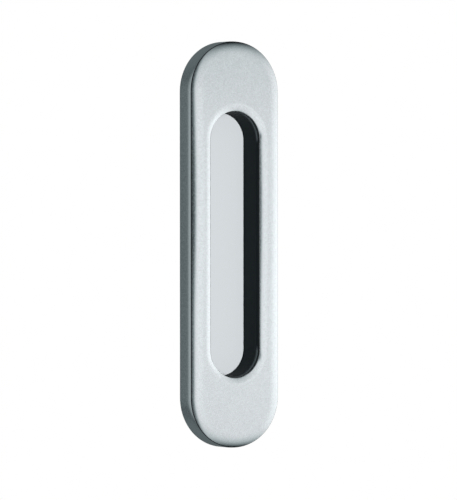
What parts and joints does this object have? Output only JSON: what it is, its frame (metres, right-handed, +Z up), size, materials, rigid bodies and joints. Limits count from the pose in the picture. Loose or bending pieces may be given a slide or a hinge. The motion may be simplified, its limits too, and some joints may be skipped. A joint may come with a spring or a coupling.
{
  "type": "pocket door pull",
  "caption": "Round-ended flush pull for a sliding pocket door: a domed satin metal cover with a long finger recess, snapped over a screwed moulded housing.",
  "frame": {"origin": "centre of the outline, on the door's surface that the pull is screwed against", "axes": "+Z up along the pull's long axis, +Y into the door, so the visible face looks along -Y, +X to the right seen from the front"},
  "size_m": [0.04, 0.0221, 0.16],
  "materials": {
    "satin_chrome": "satin",
    "black_nylon": "satin",
    "floor_satin_chrome": "satin",
    "zinc_plated_steel": "satin"
  },
  "bodies": {
    "root": {"face_cover": "satin_chrome", "recess_housing": "black_nylon", "floor_plate": "floor_satin_chrome", "fixing_screws": "zinc_plated_steel"}
  },
  "joints": []
}
